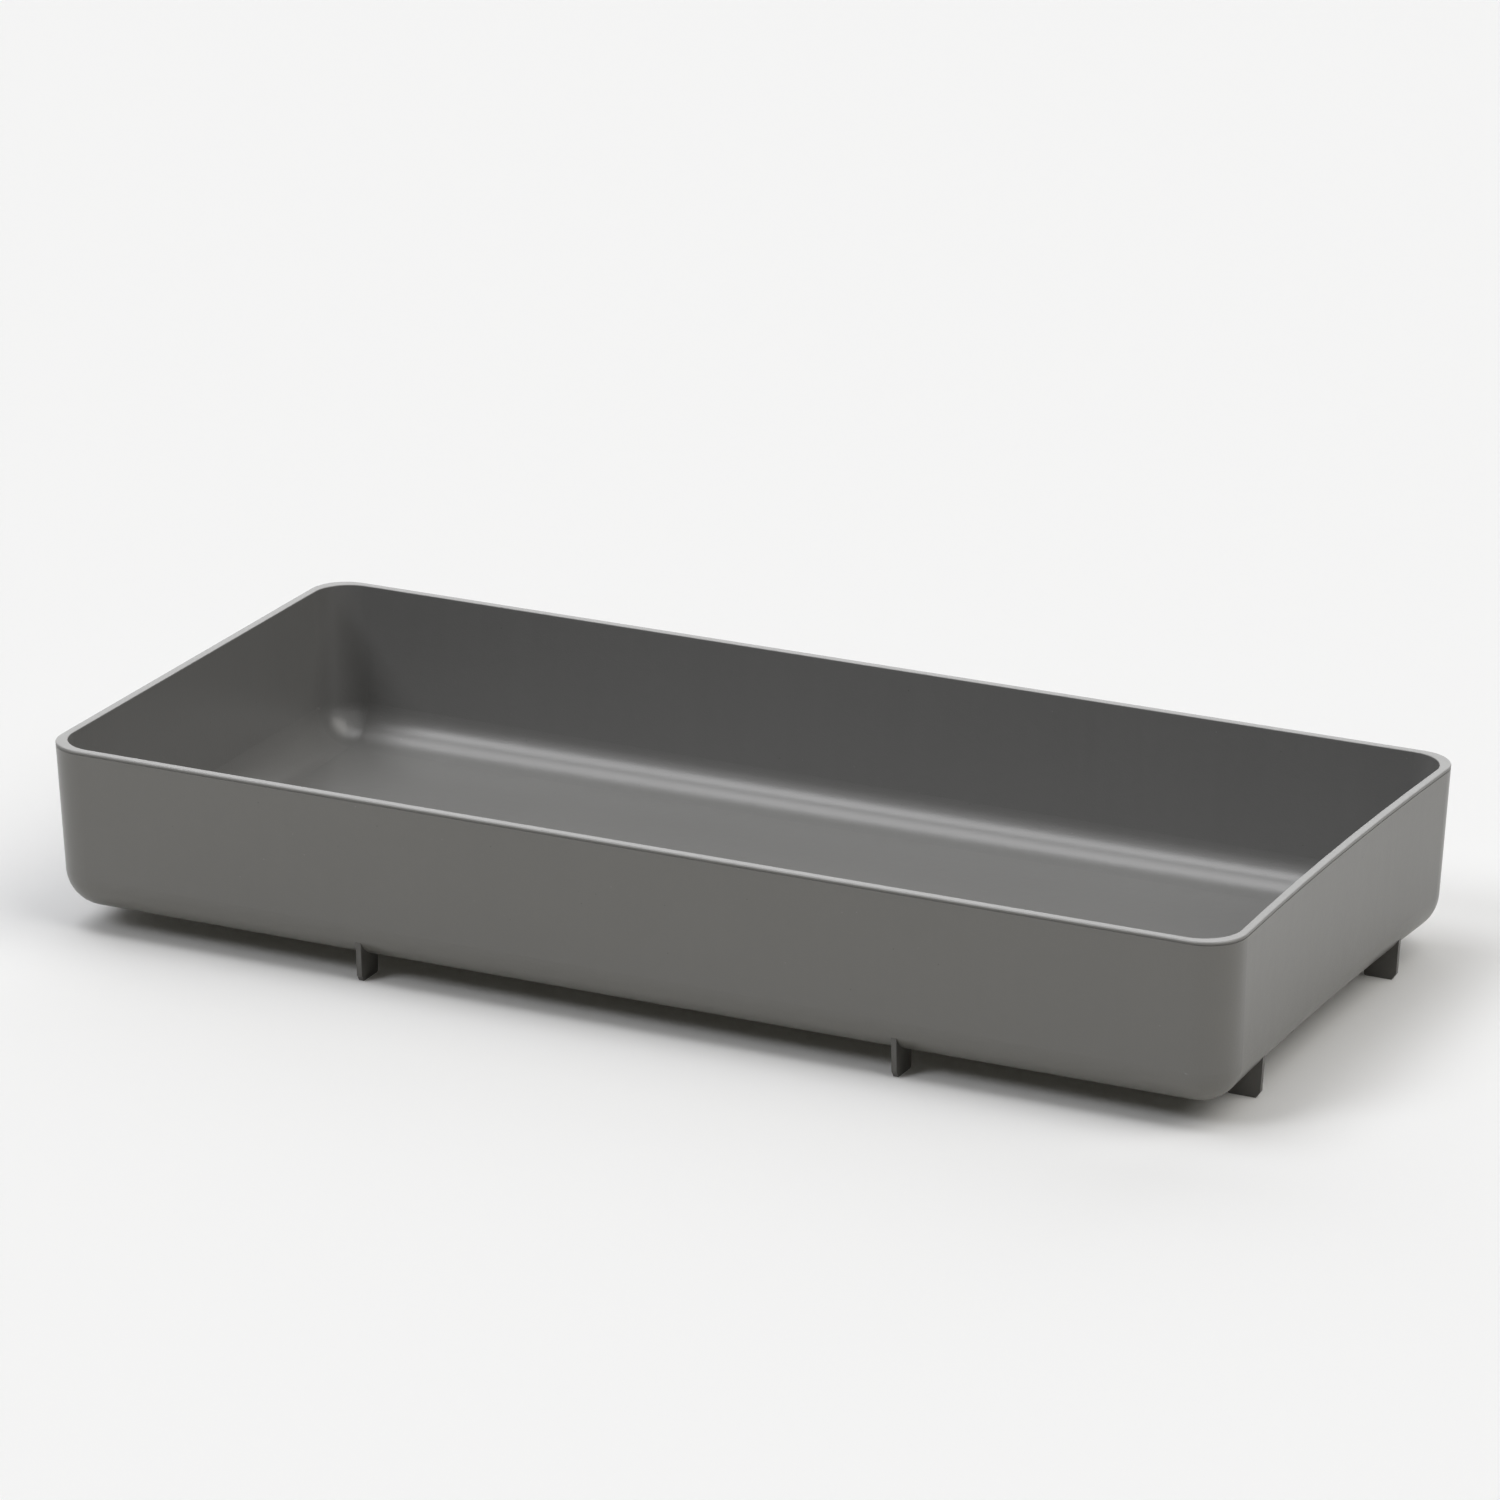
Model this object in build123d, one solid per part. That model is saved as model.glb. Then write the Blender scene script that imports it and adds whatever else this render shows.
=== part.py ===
from build123d import *
from math import radians, sqrt, tan
import os

# A long, low desk tray for accessories: one thin moulded shell that stands on eight blade feet.
# Frame: origin on the table under the middle of the tray, +X along its length to the right end,
# +Y to the back and +Z up. Sizes are in millimetres and angles in degrees.

# Outside of the shell
tray_length = 399.0  # over the rim, end to end
tray_width = 189.0  # over the rim, front to back
rim_height = 61.5  # table to the top of the rim
foot_gap = 7.0  # table to the underside of the shell
side_draft = 3.1  # lean of the front and back walls, so that the tray leaves its mould
end_draft = 2.0  # lean of the end walls
outer_round = 12.8  # upright corners and lower edge
end_draw_in = 1.7  # how far the right end wall has drawn in between its corners

# Inside of the shell
wall_thickness = 2.9
floor_thickness = 3.0
inner_round = 12.4  # upright corners and walls to tray floor

# Rim: softened edges and the fine parting groove that runs round just below it
outer_edge_round = 0.5
inner_edge_round = 0.25
parting_drop = 0.75  # top of the rim to the groove
parting_width = 0.35
parting_depth = 0.18

# Blade feet, each set square to its wall
blade_thickness = 1.7
blade_length = 10.6  # from its outer edge inwards
blade_set_in = 1.9  # foot line of the wall to the blade's outer edge
blade_lead_in = 1.4  # chamfer on the lower outer corner, across
blade_lead_up = 2.0  # chamfer on the lower outer corner, upwards
blade_inner_round = 1.0  # lower inner corner
blade_seat = 1.2  # how deep a blade is let into the shell
blade_clearance = 0.1  # play round a blade in its pocket
long_side_pitch = 181.0  # between the two blades of the front or the back
end_pitch = 110.4  # between the two blades of an end

cut_margin = 2.0  # how far a cutting form runs past the surface that it opens

tray_floor = foot_gap + floor_thickness


def outline(inset, radius):
    """Square-cornered plan of the tray, moved inwards from the rim line by the inset."""
    x = tray_length / 2 - inset
    y = tray_width / 2 - inset
    # The arc of the right end passes through x where corners of this radius will begin
    flare = end_draw_in * ((y / (y - radius)) ** 2 - 1)
    with BuildSketch() as plan:
        with BuildLine():
            Polyline((x + flare, y), (-x, y), (-x, -y), (x + flare, -y))
            ThreePointArc((x + flare, -y), (x - end_draw_in, 0), (x + flare, y))
        make_face()
    return plan.sketch


def leaning_block(plan, bottom, top):
    """Solid on a plan given at the rim, with walls that lean inwards below it."""
    block = extrude(Pos(0, 0, bottom) * plan, top - bottom)
    for axis, lean in ((Axis.X, end_draft), (Axis.Y, side_draft)):
        faces = block.faces().sort_by(axis)
        block = draft([faces[0], faces[-1]], Plane.XY.offset(rim_height), -lean)
    return block


def rounded_form(inset, bottom, top, radius):
    """Block on the plan moved inwards by the inset, with one rounding for its upright and lower edges."""
    block = leaning_block(outline(inset, radius), bottom, top)
    below_top = block.edges().filter_by_position(Axis.Z, bottom, top, inclusive=(True, False))
    return fillet(below_top, radius)


def outer_form(inset):
    """Filled outside of the tray, moved inwards by the inset."""
    return rounded_form(inset, foot_gap + inset, rim_height, outer_round - inset)


def hollow_form():
    """The space inside the tray, run on upwards past the rim."""
    return rounded_form(wall_thickness, tray_floor, rim_height + cut_margin, inner_round)


def parting_ring():
    """Ring that cuts the parting groove round the outside of the rim."""
    middle = rim_height - parting_drop - parting_width / 2
    band = Box(tray_length + 2 * cut_margin, tray_width + 2 * cut_margin, parting_width)
    return Pos(0, 0, middle) * band - outer_form(parting_depth)


def blade_plate(play):
    """Upright plate of a blade at the origin, outer edge at x = 0, grown by the play."""
    # The outer edge runs up to the bottom rounding, and on into the shell by the seat
    rise = outer_round - sqrt(outer_round**2 - (outer_round - blade_set_in) ** 2)
    top = foot_gap + rise + blade_seat + play
    with BuildSketch(Plane.XZ) as side:
        with BuildLine():
            Polyline(
                (-blade_length - play, 0),
                (-blade_lead_in, 0),
                (play, blade_lead_up),
                (play + (top - blade_lead_up) * tan(radians(side_draft)), top),
                (-blade_length - play, top),
                close=True,
            )
        make_face()
        fillet(side.vertices().group_by(Axis.X)[0].sort_by(Axis.Y)[0], blade_inner_round)
    return extrude(side.sketch, blade_thickness / 2 + play, both=True)


def blade_places():
    """Name of each blade, with the place of its outer edge and the way it faces."""
    wall_height = rim_height - foot_gap
    x = tray_length / 2 - wall_height * tan(radians(end_draft)) - blade_set_in
    y = tray_width / 2 - wall_height * tan(radians(side_draft)) - blade_set_in
    across = long_side_pitch / 2
    along = end_pitch / 2
    corner_start = tray_width / 2 - outer_round
    right_x = x - end_draw_in * (1 - (along / corner_start) ** 2)
    return {
        "foot_front_left": Location((-across, -y, 0), (0, 0, -90)),
        "foot_front_right": Location((across, -y, 0), (0, 0, -90)),
        "foot_back_left": Location((-across, y, 0), (0, 0, 90)),
        "foot_back_right": Location((across, y, 0), (0, 0, 90)),
        "foot_left_front": Location((-x, -along, 0), (0, 0, 180)),
        "foot_left_back": Location((-x, along, 0), (0, 0, 180)),
        "foot_right_front": Location((right_x, -along, 0)),
        "foot_right_back": Location((right_x, along, 0)),
    }


def rim_face(shell):
    """Flat top of the rim."""
    return shell.faces().sort_by(Axis.Z)[-1]


def tray_shell(seat, places):
    """Shell with softened rim edges, the parting groove and a pocket for each blade."""
    shell = outer_form(0) - hollow_form()
    shell = fillet(rim_face(shell).outer_wire().edges(), outer_edge_round)
    shell = fillet(rim_face(shell).inner_wires()[0].edges(), inner_edge_round)
    shell -= parting_ring()
    for place in places.values():
        shell -= place * blade_plate(blade_clearance) - seat
    return shell


# The blades end on the outside of the tray moved inwards, which is the bottom of their pockets
seat = outer_form(blade_seat)
places = blade_places()
nodes = {"tray_shell": tray_shell(seat, places)}
for name, place in places.items():
    nodes[name] = place * blade_plate(0) - seat

os.makedirs("parts", exist_ok=True)
for name, shape in nodes.items():
    shape.label = name
    export_step(shape, f"parts/{name}.step")
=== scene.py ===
from math import cos, pi, radians, sin

import bpy
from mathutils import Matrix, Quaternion, Vector

# A moulded desk tray on blade feet, dressed in its plastic and set in a plain pale studio.
# Sizes are in metres and angles in degrees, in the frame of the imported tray.

# Camera
VIEW_AZIMUTH = 25.45  # from straight in front, towards the right end
VIEW_ELEVATION = 19.22
VIEW_ROLL = 0.40
VIEW_DISTANCE = 2.556
AIM_HEIGHT = 0.0618  # the aim point stands above the middle of the tray
LENS_MM = 197.8
SENSOR_MM = 36.0
FRAME_SHIFT = -0.00115  # share of the frame's width

# Studio
FLOOR_SIZE = 12.0
FLOOR_COLOUR = (0.882, 0.885, 0.893, 1.0)  # as seen
FLOOR_GLOW = (0.017, 0.016, 0.013, 1.0)  # as seen, so that deep shadow on it is not black
FLOOR_BOUNCE = (0.66, 0.64, 0.575, 1.0)  # for the light that it throws back
FLOOR_ROUGHNESS = 0.9
BACKDROP_COLOUR = (0.905, 0.905, 0.905, 1.0)
ROOM_COLOUR = (0.001, 0.001, 0.001, 1.0)
NEUTRAL = (1.0, 1.0, 1.0)
COOL = (0.995, 1.0, 1.012)
WARM = (1.0, 0.98, 0.935)
# Each softbox: azimuth as for the camera, elevation, the angle that it fills, level and colour.
# A level of 1 alone would show a matt face turned towards the softbox in the face's own colour.
SOFTBOXES = {
    "top_softbox": (0, 90, 40, 0.145, COOL),
    "left_softbox": (285, 70, 30, 0.24, COOL),
    "right_softbox": (95, 53, 50, 0.43, WARM),
    "front_softbox": (326, 44, 22, 0.24, COOL),
    "back_softbox": (208, 21, 72, 0.36, NEUTRAL),
}

# Plastic
SHELL_GREY = (0.192, 0.191, 0.188, 1.0)
# The blades are the shell's plastic, painted darker here to stand for the shade they sit in under the tray
BLADE_GREY_PAINTED_SHADE = (0.120, 0.118, 0.114, 1.0)
PLASTIC_IOR = 1.60
SHELL_ROUGHNESS = 0.31
BLADE_ROUGHNESS = 0.38

# Wear and painted highlight: the soles are rubbed a little paler, and the rim is painted paler, partly as
# wear and partly as a painted highlight of the light on its top
WEAR_AND_HIGHLIGHT_TINT = 1.10
RIM_TOP = 0.0615  # above the table
RIM_DEPTH = 0.0006  # how far down the paler edge of the rim reaches
SOLE_HEIGHT = 0.0006  # how far up a blade is scuffed

# Mould grain: fine grain and slow waviness
GRAIN_SIZE = 0.00055
GRAIN_DETAIL = 2.0
PEEL_SIZE = 0.0045
PEEL_DETAIL = 1.0
GRAIN_HEIGHT = 0.000045
GRAIN_DEPTH = 0.8  # share of that height

# Specks
SPECK_PITCH = 0.0048  # between the places for specks, in every direction
SPECK_SIZE = 0.00022
SHELL_SPECKS = 0.7  # share of those places that hold a speck
BLADE_SPECKS = 0.5
DARK_SHARE = 0.5  # share of the specks that are dark
PALE_SPECK_TINT = 1.45
DARK_SPECK_TINT = 0.55

# Clouds and flow marks
MARK_CONTRAST = 1.5
NOISE_MIDDLE = 0.5
CLOUD_SIZE = 0.045
CLOUD_DETAIL = 2.0
CLOUD_TINT = 0.02  # how much lighter or darker a cloud is
STREAK_WIDTH = 0.004
STREAK_LENGTH = 0.09
STREAK_DETAIL = 1.0
STREAK_TINT = 0.008  # how much lighter or darker a streak is
STREAK_ROUGHNESS = 0.02  # how much rougher or smoother a streak is
WALL_FACING = 0.3  # faces whose normal rises less than this are walls
LEVEL_FACING = 0.6  # and those whose normal rises more than this are level

# Places of the colour sockets on a mix node, which has sockets of the same names for other kinds
MIX_COLOUR_INPUTS = (6, 7)
MIX_COLOUR_OUTPUT = 2


def add(tree, kind, **sockets):
    """New node of a kind, with the values of its input sockets by name."""
    node = tree.nodes.new(kind)
    for name, value in sockets.items():
        node.inputs[name.replace("_", " ")].default_value = value
    return node


def link(tree, *pairs):
    """Join each output socket to the input socket that follows it."""
    for output, socket in pairs:
        tree.links.new(output, socket)


def arithmetic(tree, operation, first, second):
    """Sum, product or the like of two values, each a socket or a number."""
    node = tree.nodes.new("ShaderNodeMath")
    node.operation = operation
    for socket, value in zip(node.inputs, (first, second)):
        if isinstance(value, (int, float)):
            socket.default_value = value
        else:
            tree.links.new(value, socket)
    return node.outputs["Value"]


def spread(tree, value, low, high, start=0.0, end=1.0, smooth=False):
    """A value carried from the range low to high onto the range start to end."""
    node = add(tree, "ShaderNodeMapRange", From_Min=low, From_Max=high, To_Min=start, To_Max=end)
    node.interpolation_type = "SMOOTHSTEP" if smooth else "LINEAR"
    tree.links.new(value, node.inputs["Value"])
    return node.outputs["Result"]


def blend(tree, mask, under, over):
    """Colour that goes from the first to the second where the mask rises, each a socket or a colour."""
    node = tree.nodes.new("ShaderNodeMix")
    node.data_type = "RGBA"
    tree.links.new(mask, node.inputs["Factor"])
    for place, colour in zip(MIX_COLOUR_INPUTS, (under, over)):
        if isinstance(colour, tuple):
            node.inputs[place].default_value = colour
        else:
            tree.links.new(colour, node.inputs[place])
    return node.outputs[MIX_COLOUR_OUTPUT]


def tinted(colour, factor):
    """Colour made lighter or darker by a factor."""
    return tuple(channel * factor for channel in colour[:3]) + (1.0,)


def tone_shift(tree, value, tint):
    """Factor that goes from a little below one to a little above it as the value rises."""
    return spread(tree, value, 0.0, 1.0, 1 - tint, 1 + tint)


def new_group(name, inputs, outputs):
    """Shader node group with its named inputs and outputs."""
    tree = bpy.data.node_groups.new(name, "ShaderNodeTree")
    for socket, value in inputs.items():
        tree.interface.new_socket(socket, in_out="INPUT", socket_type="NodeSocketFloat").default_value = value
    for socket, kind in outputs.items():
        tree.interface.new_socket(socket, in_out="OUTPUT", socket_type=kind)
    return tree, tree.nodes.new("NodeGroupInput"), tree.nodes.new("NodeGroupOutput")


def place_group(tree, group, **values):
    """The group as a node of a material, with the values of its inputs."""
    node = tree.nodes.new("ShaderNodeGroup")
    node.node_tree = group
    for name, value in values.items():
        node.inputs[name].default_value = value
    return node


def stretched_noise(tree, place, scale, detail):
    """Noise stretched by a scale for each axis."""
    stretch = add(tree, "ShaderNodeMapping", Scale=scale)
    noise = add(tree, "ShaderNodeTexNoise", Scale=1.0, Detail=detail)
    link(tree, (place, stretch.inputs["Vector"]), (stretch.outputs["Vector"], noise.inputs["Vector"]))
    return noise.outputs["Fac"]


def even_noise(tree, place, size, detail):
    """Noise of one size in every direction."""
    return stretched_noise(tree, place, (1 / size,) * 3, detail)


def mould_grain():
    """Fine grain and slow waviness that the mould leaves in the skin."""
    tree, given, result = new_group("mould_grain", {"Depth": GRAIN_DEPTH}, {"Normal": "NodeSocketVector"})
    place = add(tree, "ShaderNodeTexCoord").outputs["Object"]
    grain = even_noise(tree, place, GRAIN_SIZE, GRAIN_DETAIL)
    peel = even_noise(tree, place, PEEL_SIZE, PEEL_DETAIL)
    height = arithmetic(tree, "ADD", grain, peel)
    bump = add(tree, "ShaderNodeBump", Distance=GRAIN_HEIGHT)
    link(
        tree,
        (given.outputs["Depth"], bump.inputs["Strength"]),
        (height, bump.inputs["Height"]),
        (bump.outputs["Normal"], result.inputs["Normal"]),
    )
    return tree


def moulding_specks():
    """Masks of the few tiny pale and dark specks in the plastic."""
    masks = {"Pale": "NodeSocketFloat", "Dark": "NodeSocketFloat"}
    tree, given, result = new_group("moulding_specks", {"Amount": SHELL_SPECKS}, masks)
    place = add(tree, "ShaderNodeTexCoord").outputs["Object"]
    cells = add(tree, "ShaderNodeTexVoronoi", Scale=1 / SPECK_PITCH)
    choice = add(tree, "ShaderNodeSeparateColor")
    link(tree, (place, cells.inputs["Vector"]), (cells.outputs["Color"], choice.inputs["Color"]))
    edge = SPECK_SIZE / SPECK_PITCH
    dot = spread(tree, cells.outputs["Distance"], edge, edge / 2, smooth=True)
    present = arithmetic(tree, "LESS_THAN", choice.outputs["Green"], given.outputs["Amount"])
    shown = arithmetic(tree, "MULTIPLY", dot, present)
    pale = arithmetic(tree, "GREATER_THAN", choice.outputs["Red"], DARK_SHARE)
    dark = arithmetic(tree, "SUBTRACT", 1.0, pale)
    link(
        tree,
        (arithmetic(tree, "MULTIPLY", shown, pale), result.inputs["Pale"]),
        (arithmetic(tree, "MULTIPLY", shown, dark), result.inputs["Dark"]),
    )
    return tree


def flow_marks():
    """Slow clouds, and streaks that run up the walls and along the level faces."""
    values = {"Clouds": "NodeSocketFloat", "Streaks": "NodeSocketFloat"}
    tree, given, result = new_group("flow_marks", {"Contrast": MARK_CONTRAST}, values)
    texture = add(tree, "ShaderNodeTexCoord")
    place = texture.outputs["Object"]
    across = 1 / STREAK_WIDTH
    along = 1 / STREAK_LENGTH
    clouds = even_noise(tree, place, CLOUD_SIZE, CLOUD_DETAIL)
    upright = stretched_noise(tree, place, (across, across, along), STREAK_DETAIL)
    lengthwise = stretched_noise(tree, place, (along, across, across), STREAK_DETAIL)
    facing = add(tree, "ShaderNodeSeparateXYZ")
    rise = arithmetic(tree, "ABSOLUTE", facing.outputs["Z"], 0)
    level = spread(tree, rise, WALL_FACING, LEVEL_FACING, smooth=True)
    streaks = tree.nodes.new("ShaderNodeMix")
    link(
        tree,
        (texture.outputs["Normal"], facing.inputs["Vector"]),
        (level, streaks.inputs["Factor"]),
        (upright, streaks.inputs["A"]),
        (lengthwise, streaks.inputs["B"]),
    )
    for value, name in ((clouds, "Clouds"), (streaks.outputs["Result"], "Streaks")):
        centred = arithmetic(tree, "SUBTRACT", value, NOISE_MIDDLE)
        widened = arithmetic(tree, "MULTIPLY", centred, given.outputs["Contrast"])
        raised = arithmetic(tree, "ADD", widened, NOISE_MIDDLE)
        # The spread keeps the result between nought and one
        link(tree, (spread(tree, raised, 0.0, 1.0), result.inputs[name]))
    return tree


def new_material(name):
    """Empty node material with its shader joined to its output."""
    material = bpy.data.materials.new(name)
    material.use_nodes = True
    tree = material.node_tree
    tree.nodes.clear()
    shader = add(tree, "ShaderNodeBsdfPrincipled")
    output = add(tree, "ShaderNodeOutputMaterial")
    link(tree, (shader.outputs["BSDF"], output.inputs["Surface"]))
    return material, tree, shader


def height_mask(tree, low, high):
    """Mask that rises from the low to the high level of the tray."""
    place = add(tree, "ShaderNodeTexCoord")
    axes = add(tree, "ShaderNodeSeparateXYZ")
    link(tree, (place.outputs["Object"], axes.inputs["Vector"]))
    return spread(tree, axes.outputs["Z"], low, high, smooth=True)


def rim_wear_and_highlight_mask(tree):
    """The edge of the rim, painted a little paler than the walls: partly wear, partly a painted highlight of
    the light on its top.
    """
    return height_mask(tree, RIM_TOP - RIM_DEPTH, RIM_TOP)


def sole_mask(tree):
    """The lowest edge of a blade, scuffed on the table."""
    return height_mask(tree, SOLE_HEIGHT, 0.0)


def plastic(name, colour, groups, roughness, specks, wear_and_highlight_mask):
    """Moulded plastic with its grain, specks and flow marks, paler where the mask rises: wear, and on the rim
    also a painted highlight.
    """
    material, tree, shader = new_material(name)
    shader.inputs["IOR"].default_value = PLASTIC_IOR
    grain = place_group(tree, groups["grain"], Depth=GRAIN_DEPTH)
    dots = place_group(tree, groups["specks"], Amount=specks)
    marks = place_group(tree, groups["marks"], Contrast=MARK_CONTRAST)
    tone = tone_shift(tree, marks.outputs["Clouds"], CLOUD_TINT)
    tone = arithmetic(tree, "MULTIPLY", tone, tone_shift(tree, marks.outputs["Streaks"], STREAK_TINT))
    base = tree.nodes.new("ShaderNodeVectorMath")
    base.operation = "SCALE"
    base.inputs["Vector"].default_value = colour[:3]
    link(tree, (tone, base.inputs["Scale"]))
    # Paler where the mask rises: wear on the soles, and on the rim wear plus a painted highlight of the light
    # on its top
    skin = blend(tree, wear_and_highlight_mask(tree), base.outputs["Vector"], tinted(colour, WEAR_AND_HIGHLIGHT_TINT))
    skin = blend(tree, dots.outputs["Pale"], skin, tinted(colour, PALE_SPECK_TINT))
    skin = blend(tree, dots.outputs["Dark"], skin, tinted(colour, DARK_SPECK_TINT))
    smoothest = roughness - STREAK_ROUGHNESS
    roughest = roughness + STREAK_ROUGHNESS
    gloss = spread(tree, marks.outputs["Streaks"], 0.0, 1.0, smoothest, roughest)
    link(
        tree,
        (skin, shader.inputs["Base Color"]),
        (gloss, shader.inputs["Roughness"]),
        (grain.outputs["Normal"], shader.inputs["Normal"]),
    )
    return material


def shown_rays(tree):
    """One for the rays that show a surface as itself, nought for light on its way elsewhere."""
    path = add(tree, "ShaderNodeLightPath").outputs
    mirrored = arithmetic(tree, "MAXIMUM", path["Is Glossy Ray"], path["Is Transmission Ray"])
    return arithmetic(tree, "MAXIMUM", path["Is Camera Ray"], mirrored)


def set_world():
    """Pale backdrop for the camera and for reflections, and the room's dim light for the rest."""
    world = bpy.data.worlds.new("studio")
    bpy.context.scene.world = world
    world.use_nodes = True
    tree = world.node_tree
    tree.nodes.clear()
    background = add(tree, "ShaderNodeBackground")
    output = add(tree, "ShaderNodeOutputWorld")
    colour = blend(tree, shown_rays(tree), ROOM_COLOUR, BACKDROP_COLOUR)
    link(
        tree,
        (colour, background.inputs["Color"]),
        (background.outputs["Background"], output.inputs["Surface"]),
    )


def direction(azimuth, elevation):
    """Unit vector towards an azimuth, from straight in front to the right, and an elevation."""
    turn = radians(azimuth)
    rise = radians(elevation)
    return Vector((sin(turn) * cos(rise), -cos(turn) * cos(rise), sin(rise)))


def add_softboxes():
    """Far, broad lamps, so that the floor is lit evenly and shadows stay soft."""
    for name, (azimuth, elevation, width, level, colour) in SOFTBOXES.items():
        lamp = bpy.data.lights.new(name, "SUN")
        lamp.color = colour
        lamp.energy = level * pi
        lamp.angle = radians(width)
        holder = bpy.data.objects.new(name, lamp)
        holder.rotation_mode = "QUATERNION"
        holder.rotation_quaternion = direction(azimuth, elevation).to_track_quat("Z", "Y")
        bpy.context.scene.collection.objects.link(holder)


def add_floor():
    """Wide pale floor."""
    bpy.ops.object.select_all(action="DESELECT")
    bpy.ops.mesh.primitive_plane_add(size=FLOOR_SIZE, location=(0, 0, 0))
    floor = bpy.context.active_object
    floor.name = "studio_floor"
    material, tree, shader = new_material("pale_floor")
    shader.inputs["Roughness"].default_value = FLOOR_ROUGHNESS
    shader.inputs["Specular IOR Level"].default_value = 0.0
    shader.inputs["Emission Color"].default_value = FLOOR_GLOW
    shown = shown_rays(tree)
    link(
        tree,
        (blend(tree, shown, FLOOR_BOUNCE, FLOOR_COLOUR), shader.inputs["Base Color"]),
        (shown, shader.inputs["Emission Strength"]),
    )
    floor.data.materials.append(material)


def add_camera():
    """Camera at the photograph's viewing angle."""
    back = direction(VIEW_AZIMUTH, VIEW_ELEVATION)
    data = bpy.data.cameras.new("camera")
    data.sensor_width = SENSOR_MM
    data.lens = LENS_MM
    data.shift_x = FRAME_SHIFT
    camera = bpy.data.objects.new("camera", data)
    camera.location = Vector((0, 0, AIM_HEIGHT)) + VIEW_DISTANCE * back
    camera.rotation_mode = "QUATERNION"
    level = (-back).to_track_quat("-Z", "Y")
    camera.rotation_quaternion = level @ Quaternion((0, 0, 1), radians(VIEW_ROLL))
    bpy.context.scene.collection.objects.link(camera)
    bpy.context.scene.camera = camera


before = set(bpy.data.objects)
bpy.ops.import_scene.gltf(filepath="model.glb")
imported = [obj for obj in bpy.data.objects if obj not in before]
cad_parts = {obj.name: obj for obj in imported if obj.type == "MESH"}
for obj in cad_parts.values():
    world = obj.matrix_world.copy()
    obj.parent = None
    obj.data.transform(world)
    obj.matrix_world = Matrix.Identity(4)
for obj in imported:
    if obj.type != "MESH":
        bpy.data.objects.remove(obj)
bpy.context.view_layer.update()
bpy.context.scene.view_settings.view_transform = "Standard"
groups = {"grain": mould_grain(), "specks": moulding_specks(), "marks": flow_marks()}
shell_plastic = plastic("shell_plastic", SHELL_GREY, groups, SHELL_ROUGHNESS, SHELL_SPECKS, rim_wear_and_highlight_mask)
# The feet get the same plastic in a darker grey, which is painted shade from under the tray
foot_plastic = plastic("foot_plastic", BLADE_GREY_PAINTED_SHADE, groups, BLADE_ROUGHNESS, BLADE_SPECKS, sole_mask)
for name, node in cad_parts.items():
    node.material_slots[0].material = shell_plastic if name == "tray_shell" else foot_plastic
set_world()
add_softboxes()
add_floor()
add_camera()
